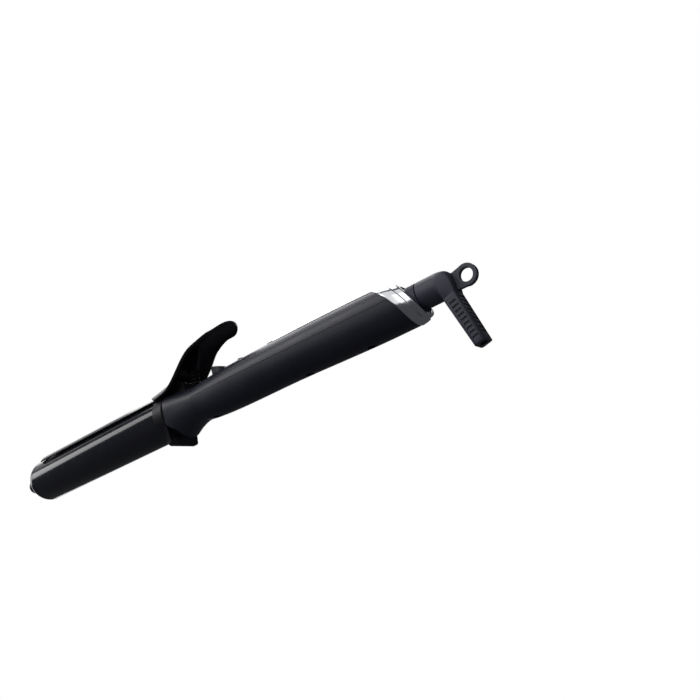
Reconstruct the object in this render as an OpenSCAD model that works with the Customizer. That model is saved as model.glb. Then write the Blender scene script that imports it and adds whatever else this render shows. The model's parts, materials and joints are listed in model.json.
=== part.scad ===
// Hair curling iron with a sprung clip, a stand foot, push buttons and a swivelling cord outlet.
// The barrel lies along X, its tip towards -X. +Z is up, the side with the clip and its lever.
// The origin is the middle of the stand foot's flat underside.

/* [Barrel] */
// Outside diameter of the heated barrel
barrel_d = 32; // [29:0.5:35]
// Length of the barrel in front of the handle
barrel_len = 142; // [115:1:170]
// Wall thickness of the barrel tube
barrel_wall = 1.2; // [0.8:0.1:1.6]
// Length of the rounded end in front of the barrel
dome_len = 14; // [10:0.5:18]
// Diameter of the cool knob on the tip
knob_d = 11; // [8:0.5:13]
// Length of the cool knob
knob_len = 8; // [4:0.5:10]

/* [Clip and lever] */
// Air gap between the barrel and the clip
clip_gap = 1.4; // [0.8:0.1:2]
// Thickness of the clip's sheet
clip_wall = 1; // [0.8:0.1:1.2]
// Half of the angle that the clip wraps round the barrel
clip_half_angle = 48; // [35:1:58]
// Thickness of the thumb lever
lever_wall = 1.6; // [1.2:0.1:2]
// Half width of the lever at its root
lever_root_half = 16.5; // [14:0.5:18]
// Diameter of the hinge pin
pin_d = 2.2; // [1.8:0.1:2.6]

/* [Handle] */
// Length of the handle along its top, from the foot to the slanted end
handle_len = 184; // [165:1:215]
// Half width of the handle
handle_half_w = 14.3; // [13.5:0.1:16]
// Height of the handle's top above the barrel's axis
handle_top = 15; // [14:0.1:17]
// Depth of the handle's underside below the barrel's axis
handle_bottom = 15.4; // [14.5:0.1:17]
// Wall thickness of the plastic shells
shell_wall = 1.8; // [1.4:0.1:2.2]
// Width of the polished bezel round the slanted end
bezel_w = 9; // [6:0.5:10]
// Depth of the stand foot below the barrel's axis
foot_drop = 22.5; // [21:0.5:28]

/* [Buttons] */
// Diameter of the power button
power_d = 11; // [9:0.5:12]
// Diameter of the temperature button
temp_d = 7; // [6:0.5:8]
// Travel of both buttons
button_travel = 0.6; // [0.4:0.1:0.7]

/* [Cord outlet] */
// Outside diameter of the swivel
swivel_d = 17.2; // [15:0.2:18]
// Length of the swivel from its groove to the middle of the strain relief
elbow_reach = 16; // [15.5:0.5:22]
// Width of the strain relief across the iron, at its root
boot_w = 13; // [11:0.5:14]
// Width of the strain relief along the iron, at its root
boot_deep = 9; // [8.5:0.5:12]
// Length of the strain relief below the swivel's axis
boot_len = 42; // [34:1:52]
// Diameter of the cord's hole
cord_d = 5.2; // [4.8:0.1:5.8]
// Diameter of the hole in the hanging loop
loop_hole_d = 8.2; // [6:0.1:9]

/* [Hidden] */
$fn = 64;
fit = 0.05;              // running clearance on a radius
snug = 0.05;             // gap between pieces that are pressed or glued together
clear = 0.3;             // gap between pieces that move past each other
barrel_r = barrel_d / 2;
bore_r = barrel_r - barrel_wall;

// Stand foot: a ring round the barrel that grows into a flat-bottomed plate
ring_r = barrel_r + clip_gap - clear;
plate_x = 5.5;
plate_wall = 3;
foot_thick = plate_x + plate_wall;
foot_half_w = ring_r - 4.1;
foot_x = plate_x + plate_wall / 2; // middle of the underside

// Clip and lever
clip_in = barrel_r + clip_gap;
clip_out = clip_in + clip_wall;
clip_front = -barrel_len + 6;
clip_back = 9;
hinge_x = 19;
hinge_z = clip_in + 2;
eye_r = pin_d / 2 + 0.9;
base_half_w = 7.2;
base_end = 25;
base_top = clip_in - clear;
hinge_screw_x = 23;
hinge_screw_ys = [-2.2, 2.2];
bush_neck_r = 10.4;
ear_in = 3.4;
ear_wall = 1.2;
lug_wall = 1.4;
lever_r = clip_out + 1.2;
lever_front = -3.5;
lever_len = 77.5;
lever_rise = 24.6;
rivet_x = lever_front + 5;
spring_x = 30;
spring_top = hinge_z + 5;

// Handle
nose_x = foot_thick + 0.5;
nose_end = 34;
section_power = 2.2;
bend_r = 50;             // radius of the slanted end, seen from the side
bend_x = handle_len - 27;
bend_z = -29;
seam_gap = 0.12;
steps = 26;

// Swivel and cord outlet
swivel_z = -2.3;
swivel_r = swivel_d / 2;
groove_x = bend_x + bend_r + 5.5;
spindle_r = swivel_r - 2.1;
boot_x = groove_x + elbow_reach;
boot_lean = 14;
boot_narrow = 1.2;       // what both widths lose towards the tip
boot_edge = 1.8;
boot_top = 9.5;
slot_pitch = 3;
slots = 9;
slot_deep = (boot_deep - boot_narrow - cord_d) / 2 - 0.5;
loop_x = boot_x + boot_deep / 2 + 9.7;
loop_z = swivel_z - 0.5;
loop_r = loop_hole_d / 2 + 2.6;
loop_wall = 3;

// Buttons and boards
power_x = 53.5;
temp_x = 75;
switch_z = 5.4;
switch_size = 6;
switch_top = 9.8;
button_foot = switch_top + button_travel + 0.1;
board_x = 52;
board_len = 64;
board_top = -1.4;
board_wall = 1.6;
screw_xs = [43, 124, 172];
screw_head_r = 2.5;
screw_shank_r = 1.05;

// ---- helpers ----

// Puts pieces drawn on the barrel's axis into the part's frame
module placed() {
    translate([-foot_x, 0, foot_drop]) children();
}

// A round rod along X
module rod_x(x0, x1, r, y = 0, z = 0) {
    translate([x0, y, z]) rotate([0, 90, 0]) cylinder(h = x1 - x0, r = r);
}

// A pipe along X
module pipe_x(x0, x1, r_out, r_in, y = 0, z = 0) {
    difference() {
        rod_x(x0, x1, r_out, y, z);
        rod_x(x0 - 1, x1 + 1, r_in, y, z);
    }
}

// A round rod along Y, centred on y = 0
module rod_y(x, z, r, length) {
    translate([x, length / 2, z]) rotate([90, 0, 0]) cylinder(h = length, r = r);
}

// A profile of [radius, position] turned round the X axis
module lathe_x(turn = 360) {
    rotate([0, 90, 0]) rotate([0, 0, 180 - turn / 2]) rotate_extrude(angle = turn) children();
}

// A box from its low corner to its high corner
module box(low, high) {
    translate(low) cube(high - low);
}

function ease(t) = let(u = max(0, min(1, t))) u * u * (3 - 2 * u);
function mix(a, b, t) = a + (b - a) * t;
function joined(lists) = [for (l = lists) for (p = l) p];

// A solid lofted through closed loops of equal length. The two halves of each loop face each
// other, so an end is closed by pairing points from both halves.
module loft(loops, ring = false) {
    n = len(loops[0]);
    m = len(loops);
    sides = [for (i = [0 : ring ? m - 1 : m - 2], j = [0 : n - 1])
        let(a = i * n + j, b = i * n + (j + 1) % n,
            c = ((i + 1) % m) * n + (j + 1) % n, d = ((i + 1) % m) * n + j)
        each [[a, b, c], [a, c, d]]];
    cap = [for (j = [0 : n / 2 - 2]) let(k = n - 1 - j) each [[j, k, j + 1], [k, k - 1, j + 1]]];
    last = (m - 1) * n;
    caps = ring ? [] : concat(cap, [for (t = cap) [last + t[2], last + t[1], last + t[0]]]);
    polyhedron(joined(loops), concat(sides, caps), convexity = 6);
}

// Half height of the handle above the barrel's axis: nose, waist, grip, falling to the rear
function top_h(x) =
    handle_top - 2.6 * exp(-max(0, x - nose_end) / 20)
    + 3.9 * pow(max(0, nose_end - x) / 25, 2)
    - 1.8 * pow(max(0, x - 110) / 80, 2);

// Depth of the handle below the barrel's axis: a flared skirt in front, a neck, then the grip
function low_h(x) =
    handle_bottom - 2.3 * exp(-max(0, x - nose_end) / 14)
    + 6.6 * pow(max(0, nose_end - x) / 20, 2)
    + 2.2 * ease((x - 100) / 90);

// Half width of the handle
function half_w(x) =
    handle_half_w - exp(-pow((x - 36) / 16, 2)) + 1.9 * (1 - ease((x - nose_x) / 22));

// A point on the handle's skin, at an angle from +Y towards +Z, moved inwards by inset
function skin(x, turn, inset = 0) =
    let(c = cos(turn), s = sin(turn), p = 2 / section_power,
        h = (s > 0 ? top_h(x) : low_h(x)) - inset, w = half_w(x) - inset)
    [x, sign(c) * pow(abs(c), p) * w, sign(s) * pow(abs(s), p) * h];

// Position along X of the slanted end's curve, grown by more, at a height z
function end_x(z, more = 0) = bend_x + sqrt(pow(bend_r + more, 2) - pow(z - bend_z, 2));

// A skin point at a share of the way from x0 to the slanted end
function grip(x0, share, turn, inset = 0, more = 0) =
    let(x1 = bend_x + 36, near = skin(mix(x0, x1, share), turn, inset),
        x = mix(x0, end_x(near[2], more), share), p = skin(x, turn, inset))
    [mix(x0, end_x(p[2], more), share), p[1], p[2]];

// Height of the seam between the two shells, and its angle on the section
function seam_z(x) = 3.3 - 0.016 * x;
function seam_turn(x, shift = 0) =
    asin(pow((seam_z(x) + shift) / top_h(x), section_power / 2));

// A closed C-shaped loop: outer arc, then inner arc back
function c_loop(x0, share, from, to, count, wall) = concat(
    [for (j = [0 : count]) grip(x0, share, mix(from, to, j / count))],
    [for (j = [count : -1 : 0]) grip(x0, share, mix(from, to, j / count), wall)]);

// ---- barrel ----

module barrel_tube() {
    color("#17181c") placed() pipe_x(-barrel_len, plate_x, barrel_r, bore_r);
}

module end_dome() {
    shoulder = 8.5;
    plug = 7;
    color("#1b1c20") placed() difference() {
        translate([-barrel_len, 0, 0]) mirror([1, 0, 0]) lathe_x() union() {
            translate([0, -plug]) square([bore_r - snug, plug]);
            square([barrel_r - shoulder, shoulder]);
            intersection() {
                translate([barrel_r - shoulder, 0]) circle(shoulder);
                square([barrel_r, shoulder]);
            }
            polygon([[0, shoulder], [barrel_r - shoulder + 1, shoulder - 0.06],
                [knob_d / 2 + 0.4, dome_len], [0, dome_len]]);
        }
        rod_x(-barrel_len - dome_len - 1, -barrel_len + plug + 1, 1.7);
        rod_x(-barrel_len - 2, -barrel_len + plug + 1, bore_r - 3);
    }
}

module tip_knob() {
    round_r = 1.6;
    knob_r = knob_d / 2;
    color("#101114") placed() difference() {
        translate([-barrel_len - dome_len, 0, 0]) mirror([1, 0, 0]) lathe_x() union() {
            square([knob_r, knob_len - round_r]);
            square([knob_r - round_r, knob_len]);
            translate([knob_r - round_r, knob_len - round_r]) circle(round_r);
        }
        rod_x(-barrel_len - dome_len - knob_len + 1.5, -barrel_len - dome_len + 1, 1.2);
    }
}

module tip_screw() {
    color("silver") placed() {
        rod_x(-barrel_len - dome_len - knob_len + 2, -barrel_len - 2, 1.2 - snug);
        rod_x(-barrel_len - 2, -barrel_len, 2.8);
    }
}

// Half-round aluminium block that carries the heat from the elements to the tube
module heater_block(side) {
    color("#b8babd") placed() difference() {
        intersection() {
            rod_x(-barrel_len + 12, -14, bore_r - snug);
            box([-barrel_len, -barrel_r, side > 0 ? 1.1 : -barrel_r],
                [0, barrel_r, side > 0 ? barrel_r : -1.1]);
        }
        rod_x(-barrel_len, 0, 7);
    }
}

module heater_block_upper() {
    heater_block(1);
}

module heater_block_lower() {
    heater_block(-1);
}

module heater_elements() {
    color("#e8e4da") placed() for (side = [-1, 1])
        translate([-barrel_len + 16, side * 10.7 - 3, -1.05]) cube([barrel_len - 36, 6, 2.1]);
}

module spreader_spring() {
    color("#9a9ca0") placed() lathe_x(300)
        translate([6.2, -barrel_len + 30]) square([0.75, barrel_len - 74]);
}

module thermistor() {
    color("#c9a34a") placed() {
        rod_x(-36, -31, 1.3, 0, -5.65);
        rod_x(-31, -26, 0.5, 0, -5.65);
    }
}

module thermal_fuse() {
    color("#d6d2c8") placed() {
        rod_x(-36, -26, 1.7, 0, 5.25);
        rod_x(-26, -20, 0.5, 0, 5.25);
    }
}

module barrel_bush() {
    color("#3a3631") placed() difference() {
        union() {
            rod_x(-10, plate_x, bore_r - snug);
            rod_x(plate_x, nose_x - 0.1, ring_r - 2.2);
            rod_x(foot_thick, nose_end + 4, bush_neck_r);
        }
        rod_x(-11, nose_end + 5, 8);
        for (y = hinge_screw_ys) translate([hinge_screw_x, y, 5]) cylinder(h = 12, r = 1.1);
    }
}

module heater_leads() {
    color("#8c2f28") placed() for (side = [-1, 1])
        rod_x(-16, board_x + 4, 0.9, side * 5, board_top + 0.95);
}

// ---- stand foot, nose and hinge ----

module stand_foot() {
    corner = 2.5;
    hollow_r = 60;
    shoulder_half_w = foot_half_w + 2.5;
    color("#202126") placed() difference() {
        union() {
            rod_x(0, foot_thick, ring_r);
            translate([plate_x, 0, 0]) rotate([90, 0, 90]) linear_extrude(plate_wall) {
                polygon([[-shoulder_half_w, -2], [-foot_half_w, corner - foot_drop],
                    [foot_half_w, corner - foot_drop], [shoulder_half_w, -2]]);
                translate([corner - foot_half_w, -foot_drop]) square([2 * (foot_half_w - corner), corner]);
                for (side = [-1, 1])
                    translate([side * (foot_half_w - corner), corner - foot_drop]) circle(corner);
            }
        }
        rod_x(-1, plate_x, barrel_r + snug);
        rod_x(plate_x - 1, foot_thick + 1, ring_r - 2.2 + snug);
        // the back of the foot is dished below the barrel
        intersection() {
            translate([foot_thick - 1.2 + hollow_r, 0, -foot_drop - 1]) cylinder(h = foot_drop, r = hollow_r);
            box([0, -foot_half_w, -foot_drop - 1], [foot_thick + 1, foot_half_w, -ring_r + 1]);
        }
    }
}

module nose_cone() {
    rows = 12;
    count = 56;
    // the rim is cut back under the barrel, where the skirt flares
    function rim_x(z) = nose_x + 6 * ease((-z - 6) / 13);
    function row(i, inset) = [for (j = [0 : count - 1])
        let(turn = 360 * j / count, guess = skin(nose_x, turn, inset),
            x = mix(rim_x(guess[2]), nose_end, i / rows))
        skin(x, turn, inset)];
    rings = concat([for (i = [0 : rows]) row(i, 0)], [for (i = [rows : -1 : 0]) row(i, shell_wall)]);
    color("#25262c") placed() difference() {
        loft(rings, true);
        // slot for the hinge base
        box([0, -base_half_w - clear, 6], [base_end + clear, base_half_w + clear, 30]);
    }
}

// Metal block that stands on the bush and holds the hinge pin in two lugs
module hinge_base() {
    color("#8d8f94") placed() difference() {
        union() {
            box([nose_x + 1.4, -base_half_w, 6], [base_end, base_half_w, base_top]);
            for (side = [-1, 1]) translate([0, side * (ear_in + ear_wall + clear + lug_wall / 2), 0]) {
                rod_y(hinge_x, hinge_z, eye_r, lug_wall);
                box([hinge_x - eye_r, -lug_wall / 2, base_top - 1], [hinge_x + eye_r, lug_wall / 2, hinge_z]);
            }
        }
        rod_x(0, nose_end, bush_neck_r + snug);
        rod_y(hinge_x, hinge_z, pin_d / 2 + snug, 30);
        for (y = hinge_screw_ys) translate([hinge_screw_x, y, 6]) cylinder(h = 12, r = 1.1);
    }
}

module hinge_pin() {
    reach = 2 * (ear_in + ear_wall + clear + lug_wall);
    color("silver") placed() {
        rod_y(hinge_x, hinge_z, pin_d / 2, reach + 0.4);
        for (side = [-1, 1]) translate([0, side * (reach / 2 + 0.45), 0]) rod_y(hinge_x, hinge_z, pin_d / 2 + 0.5, 0.7);
    }
}

module hinge_screws() {
    color("silver") placed() for (y = hinge_screw_ys) translate([hinge_screw_x, y, base_top]) {
        translate([0, 0, -9.5]) cylinder(h = 9.5, r = 1.05);
        cylinder(h = 0.9, r = 1.6);
    }
}

// ---- handle ----

module handle_upper_shell() {
    count = 22;
    color("#2a2b32") placed() difference() {
        loft([for (i = [0 : steps]) let(share = i / steps,
            x = mix(nose_end, bend_x + 36, share), s = seam_turn(x, seam_gap))
            c_loop(nose_end + 0.1, share, s, 180 - s, count, shell_wall)]);
        translate([power_x, 0, 5]) cylinder(h = 20, r = power_d / 2 + 0.25);
        translate([temp_x, 0, 5]) cylinder(h = 20, r = temp_d / 2 + 0.25);
    }
}

module handle_lower_shell() {
    count = 26;
    color("#1d1e24") placed() difference() {
        loft([for (i = [0 : steps]) let(share = i / steps,
            x = mix(nose_end, bend_x + 36, share), s = seam_turn(x, -seam_gap))
            c_loop(nose_end + 0.1, share, 180 - s, 360 + s, count, shell_wall)]);
        for (x = screw_xs) translate([x, 0, -30]) cylinder(h = 25, r = screw_head_r + 0.4);
    }
}

// Moulded frame between the shells: posts for the screws and rails that carry the board
module inner_frame() {
    post_r = 3.4;
    post_gap = 0.7;
    rail_top = board_top - board_wall;
    color("#3b3d42") placed() difference() {
        union() {
            for (x = screw_xs) translate([x, 0, -low_h(x) + shell_wall + post_gap])
                cylinder(h = low_h(x) + top_h(x) - 2 * (shell_wall + post_gap), r = post_r);
            for (side = [-1, 1])
                box([screw_xs[0] - 2, side * 2.6 - 0.8, rail_top - 2.4],
                    [screw_xs[2] + 2, side * 2.6 + 0.8, rail_top]);
        }
        for (x = screw_xs) {
            translate([x, 0, -30]) cylinder(h = 30 - 10, r = screw_head_r + 0.15);
            translate([x, 0, -10.5]) cylinder(h = 12, r = screw_shank_r + 0.1);
        }
    }
}

// Half angle of the top panel on the section, narrowing to a point in front
panel_x = 100;
panel_turn = 30;
function panel_half(x) = panel_turn * sqrt(max(0, 1 - pow(1 - min(1, (x - panel_x) / 26), 2)));

module top_panel() {
    count = 10;
    rise = -0.35;
    rows = 30;
    color("#0d0e11") placed() loft([for (i = [0 : rows])
        let(share = pow(i / rows, 1.5), near = mix(panel_x + 1.2, bend_x + 36, share),
            half = max(0.5, panel_half(near) - 1.2))
        concat(
            [for (j = [0 : count]) grip(panel_x + 1.2, share, 90 + mix(-half, half, j / count), rise)],
            [for (j = [count : -1 : 0]) grip(panel_x + 1.2, share, 90 + mix(-half, half, j / count), -snug)])]);
}

module trim_strip() {
    rows = 22;
    w = 5;
    // half of the strip, from the slanted end to its front point
    function side_turn(i, side) = let(share = pow(i / rows, 1.5), x = mix(panel_x, bend_x + 36, share))
        [share, 90 + side * (panel_half(x) + w / 2 + 0.2)];
    path = concat([for (i = [rows : -1 : 0]) side_turn(i, -1)], [for (i = [0 : rows]) side_turn(i, 1)]);
    color("#d9dadd") placed() loft([for (i = [0 : len(path) - 1])
        let(p = path[i], a = w / 2 * (i <= rows ? 1 : -1))
        [grip(panel_x - 1, p[0], p[1] - a, -0.5), grip(panel_x - 1, p[0], p[1] + a, -0.5),
            grip(panel_x - 1, p[0], p[1] + a, -snug), grip(panel_x - 1, p[0], p[1] - a, -snug)]]);
}

module bezel() {
    count = 72;
    // [share of the width, inset] round the bezel's section: a broad band, a step, a narrow band
    section = [[0, -0.25], [0.07, -0.3], [0.62, 0.7], [0.64, 1.4], [0.95, 2.2], [1, 2.6],
        [1, 4.2], [0, 3.2]];
    color("#dfe0e3") placed() loft([for (j = [0 : count - 1])
        [for (p = section) grip(bend_x, 1, 360 * j / count, p[1], 0.1 + p[0] * bezel_w)]], true);
}

module end_cap() {
    count = 60;
    wall = 2.5;
    inset = 4.4;
    near_r = bend_r + bezel_w - wall - 2;
    color("#15161a") placed() difference() {
        intersection() {
            difference() {
                rod_y(bend_x, bend_z, near_r + wall, 60);
                rod_y(bend_x, bend_z, near_r, 62);
            }
            translate([bend_x + 10, 0, 0]) rotate([90, 0, 90]) linear_extrude(80)
                polygon([for (j = [0 : count - 1]) let(p = skin(bend_x + 40, 360 * j / count, inset))
                    [p[1], p[2]]]);
        }
        rod_x(bend_x, bend_x + 90, swivel_r + snug, 0, swivel_z);
    }
}

module shell_screws() {
    head = 1.9;
    color("#55575c") placed() for (x = screw_xs) {
        translate([x, 0, -10 - head]) cylinder(h = head, r = screw_head_r);
        translate([x, 0, -10.01]) cylinder(h = 11, r = screw_shank_r);
    }
}

module circuit_board() {
    color("#2f5d3a") placed() box([board_x, -9.5, board_top - board_wall], [board_x + board_len, 9.5, board_top]);
}

module board_parts() {
    color("#30343a") placed() {
        box([board_x + 30, -7, board_top], [board_x + 42, 1, board_top + 5]);
        box([board_x + 16, 2, board_top], [board_x + 24, 7.5, board_top + 1.8]);
        translate([board_x + 52, 4, board_top]) cylinder(h = 9, r = 3.6);
        for (i = [0 : 3]) box([board_x + 10 + 4 * i, -6, board_top], [board_x + 12 + 4 * i, -4.8, board_top + 0.8]);
    }
}

module switch_board() {
    color("#2f5d3a") placed() {
        box([49, -5.5, switch_z - 1.2], [81, 5.5, switch_z]);
        for (x = [58.5, 79]) for (y = [-4, 4])
            translate([x, y, board_top]) cylinder(h = switch_z - 1.2 - board_top, r = 1);
    }
}

module button_switches() {
    half = switch_size / 2;
    color("#c4c6c9") placed() for (x = [power_x, temp_x]) {
        box([x - half, -half, switch_z], [x + half, half, switch_z + 3.5]);
        translate([x, 0, switch_z + 3.5]) cylinder(h = switch_top - switch_z - 3.5, r = 1.6);
    }
}

// Feet that keep a button from falling out, and its cap
module button(x, d, low_top, high_top) {
    r = d / 2;
    lean = atan((high_top - low_top) / d);
    difference() {
        union() {
            translate([x, 0, button_foot]) cylinder(h = high_top - button_foot + 1, r = r);
            box([x - r - 1.1, -2.2, button_foot], [x + r + 1.1, 2.2, button_foot + 0.5]);
        }
        translate([x, 0, (low_top + high_top) / 2]) rotate([0, lean, 0])
            translate([-2 * d, -2 * d, 0]) cube(4 * d);
        translate([x, 0, high_top - 1]) difference() {
            cylinder(h = 4, r = r + 1);
            translate([0, 0, -1]) cylinder(h = 6, r1 = r + 0.8, r2 = r - 2.4);
        }
    }
}

module power_button() {
    color("#34363d") placed() button(power_x, power_d, handle_top + 1.6, handle_top + 4.8);
}

module temperature_button() {
    color("#34363d") placed() button(temp_x, temp_d, handle_top + 0.3, handle_top + 0.9);
}

// ---- clip ----

module clip_plate() {
    lip = 5;
    round_r = 12;
    color("#1c1d22") placed() difference() {
        union() {
            intersection() {
                lathe_x(2 * clip_half_angle) union() {
                    translate([clip_in, clip_front + lip]) square([clip_wall, clip_back - clip_front - lip]);
                    // the front end curls down to the barrel
                    polygon([[clip_in, clip_front + lip], [barrel_r + clear + 0.1, clip_front + 1],
                        [barrel_r + clear + 0.1, clip_front], [barrel_r + clear + 1, clip_front],
                        [clip_out, clip_front + lip]]);
                }
                // rounded front corners, seen from above
                linear_extrude(40) union() {
                    translate([clip_front + round_r, -20]) square([clip_back - clip_front, 40]);
                    translate([clip_front + round_r, 0]) scale(1) circle(round_r + 4);
                }
            }
            // hinge ears
            for (side = [-1, 1]) translate([0, side * (ear_in + ear_wall / 2), 0]) {
                rod_y(hinge_x, hinge_z, eye_r, ear_wall);
                translate([0, ear_wall / 2, 0]) rotate([90, 0, 0]) linear_extrude(ear_wall) polygon([
                    [clip_back - 5, clip_in - 0.5], [clip_back, clip_in], [hinge_x, hinge_z - eye_r],
                    [hinge_x - 1, hinge_z + 0.85 * eye_r], [clip_back - 5, clip_out + snug]]);
            }
        }
        rod_y(hinge_x, hinge_z, pin_d / 2 + fit, 30);
        rivet_holes(1);
    }
}

// Height of the lever's outer middle line above the barrel's axis, and its half width
function lever_top(x) = let(u = x - lever_front, climb = 0.16, end = 61.5)
    lever_r + climb * min(u, end) + (lever_rise - climb * end) * ease((u - 15.5) / 32);
function lever_half(u) = let(end = lever_len - 11)
    u < 8 ? lever_root_half - 6 * pow(1 - u / 8, 2)
    : u < end ? lever_root_half - 4.2 * ease((u - 33.5) / 28)
    : (lever_root_half - 4.2) * sqrt(max(0.002, 1 - pow((u - end) / 11, 2)));
lever_arc = 18.4;
function lever_point(u, v, inset) =
    let(x = lever_front + u, slope = (lever_top(x + 0.5) - lever_top(x - 0.5)),
        k = sqrt(1 + slope * slope), y = v * lever_half(u),
        q = asin(y / (lever_arc + 1.2)), r = lever_arc + 1.2 - inset)
    [x + inset * slope / k, r * sin(q), lever_top(x) - (lever_arc + 1.2) + r * cos(q) - inset * (1 / k - 1)];

module clip_lever() {
    rows = 40;
    count = 14;
    function wall_at(u) = mix(1.15, lever_wall, ease((u - 12) / 10));
    color("#1a1b20") placed() difference() {
        loft([for (i = [0 : rows]) let(u = lever_len * (i < rows - 6 ? i / rows
                : 1 - pow((rows - i) / 6, 1.6) * 6 / rows))
            concat([for (j = [0 : count]) lever_point(u, 1 - 2 * j / count, 0)],
                [for (j = [count : -1 : 0]) lever_point(u, 1 - 2 * j / count, wall_at(u))])]);
        rivet_holes(1);
    }
}

// Stiffening rib under the lever, with the flat edge that the spring pushes on
module lever_rib() {
    function under(x) = lever_top(x) - 0.12
        - lever_wall * sqrt(1 + pow(lever_top(x + 0.5) - lever_top(x - 0.5), 2));
    color("#1a1b20") placed() rotate([90, 0, 0]) translate([0, 0, -1.2]) linear_extrude(2.4) polygon(concat(
        [for (x = [25 : 2 : 41]) [x, under(x)]], [[spring_x + 5, spring_top], [25, spring_top]]));
}

module rivet_holes(r) {
    for (side = [-1, 1]) rotate([side * 18, 0, 0]) translate([rivet_x, 0, clip_in - 3]) cylinder(h = 8, r = r);
}

// The rivets end flush with the inside of the clip, so that they pass over the foot's ring
module clip_rivets() {
    color("#4a4c52") placed() for (side = [-1, 1]) rotate([side * 18, 0, 0])
        translate([rivet_x, 0, clip_in]) cylinder(h = lever_r - clip_in + 0.9, r = 1 - snug);
}

// Compression spring between the nose and the lever's rib
module clip_spring() {
    turns = 4;
    per_turn = 20;
    wire = 0.45;
    coil_r = 3;
    low = top_h(spring_x) + wire + 0.1;
    high = spring_top - wire - 0.02;
    total = turns * per_turn;
    color("#a9abb0") placed() loft([for (i = [0 : total])
        let(turn = 360 * i / per_turn, z = mix(low, high, i / total))
        [for (k = [0 : 5]) let(r = coil_r + wire * cos(60 * k))
            [spring_x + r * cos(turn), r * sin(turn), z + wire * sin(60 * k)]]]);
}

// ---- swivel ----

module swivel_socket() {
    color("#33353b") placed() difference() {
        union() {
            rod_x(groove_x - 20, groove_x - 0.25, swivel_r, 0, swivel_z);
            rod_x(groove_x - 20, groove_x - 17, swivel_r + 1, 0, swivel_z);
        }
        rod_x(groove_x - 21, groove_x + 1, spindle_r + fit, 0, swivel_z);
    }
}

module cord_elbow() {
    top_r = 3;
    drop = 4;
    rim = 0.6;
    color("#3a3c43") placed() difference() {
        union() {
            rod_x(groove_x - 32, groove_x + 1, spindle_r, 0, swivel_z);
            rod_x(groove_x + 0.25, groove_x + 7, swivel_r, 0, swivel_z);
            hull() {
                rod_x(groove_x + 6, groove_x + 10, swivel_r - 0.12, 0, swivel_z);
                translate([boot_x, 0, swivel_z]) rotate([0, -boot_lean, 0]) for (sx = [-1, 1], sy = [-1, 1])
                    translate([sx * (boot_deep / 2 - boot_edge), sy * (boot_w / 2 - boot_edge), -boot_top])
                        cylinder(h = boot_top + 1, r = boot_edge, $fn = 32);
                rod_y(boot_x + boot_deep / 2 - top_r - 0.2, swivel_z + swivel_r - drop - top_r, top_r,
                    boot_w - 5, $fn = 32);
            }
            // hanging loop
            rod_y(loop_x, loop_z, loop_r, loop_wall);
            box([boot_x, -loop_wall / 2, loop_z - loop_r + rim], [loop_x, loop_wall / 2, loop_z + loop_r - rim]);
        }
        rod_y(loop_x, loop_z, loop_hole_d / 2, 20);
        rod_x(groove_x - 33, boot_x, cord_d / 2 - 0.8, 0, swivel_z);
        translate([boot_x, 0, swivel_z]) rotate([0, -boot_lean, 0])
            translate([0, 0, -boot_top - 1]) cylinder(h = boot_top + 1, r = cord_d / 2 - 0.4);
        // grooves for the ring that keeps the spindle in its socket
        pipe_x(groove_x - 21.4, groove_x - 20.2, spindle_r + 1, spindle_r - 0.8, 0, swivel_z);
        pipe_x(groove_x - 33, groove_x - 22.4, spindle_r + 1, spindle_r - 1, 0, swivel_z);
    }
}

module spindle_ring() {
    color("silver") placed() translate([groove_x - 21.3, 0, swivel_z]) lathe_x(320)
        translate([spindle_r - 0.75, 0]) square([2.2, 1]);
}

module contact_rings() {
    color("#c9963b") placed() for (x = [groove_x - 31, groove_x - 26])
        pipe_x(x, x + 3, spindle_r - 0.2, spindle_r - 0.95, 0, swivel_z);
}

module brush_holder() {
    color("#2b2d33") placed() difference() {
        box([groove_x - 33, -5, -13.5], [groove_x - 22.5, 5, swivel_z - spindle_r - 1.2]);
        for (x = [groove_x - 31, groove_x - 26]) translate([x - 0.1, -1.6, -20]) cube([3.2, 3.2, 20]);
    }
}

module contact_brushes() {
    color("#b87333") placed() for (x = [groove_x - 31, groove_x - 26])
        box([x, -1.5, -13], [x + 3, 1.5, swivel_z - spindle_r + 0.05]);
}

module supply_leads() {
    color("#8c2f28") placed() for (side = [-1, 1])
        rod_x(board_x + board_len - 4, groove_x - 33.2, 0.8, side * 4.8, board_top + 0.85);
}

// Tapered rectangular sleeve round the cord, slotted on its four faces so that it bends
module strain_relief() {
    length = boot_len - boot_top;
    slot_w = 1.5;
    rim = 0.4;
    // half width of the sleeve at a depth below its root, from its half width at the root
    function half_at(root, z) = root - boot_narrow / 2 * -z / length;
    color("#3a3c43") placed() translate([boot_x, 0, swivel_z]) rotate([0, -boot_lean, 0])
        translate([0, 0, -boot_top - 0.02]) difference() {
            hull() for (end = [0, 1], sx = [-1, 1], sy = [-1, 1]) let(less = end * boot_narrow / 2 + boot_edge)
                translate([sx * (boot_deep / 2 - less), sy * (boot_w / 2 - less), end == 0 ? -1 : -length])
                    cylinder(h = 1, r = boot_edge, $fn = 32);
            translate([0, 0, -length - 1]) cylinder(h = length + 2, r = cord_d / 2);
            for (i = [0 : slots - 1], face = [0 : 3])
                let(z = -3 - slot_pitch * i, wide = face % 2 == 1,
                    out = half_at((wide ? boot_w : boot_deep) / 2, z),
                    half = half_at((wide ? boot_deep : boot_w) / 2, z) - boot_edge - rim)
                rotate([0, 0, 90 * face]) translate([out - slot_deep, -half, z - 0.8 - (wide ? slot_pitch / 2 : 0)])
                    cube([4, 2 * half, slot_w]);
        }
}

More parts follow.
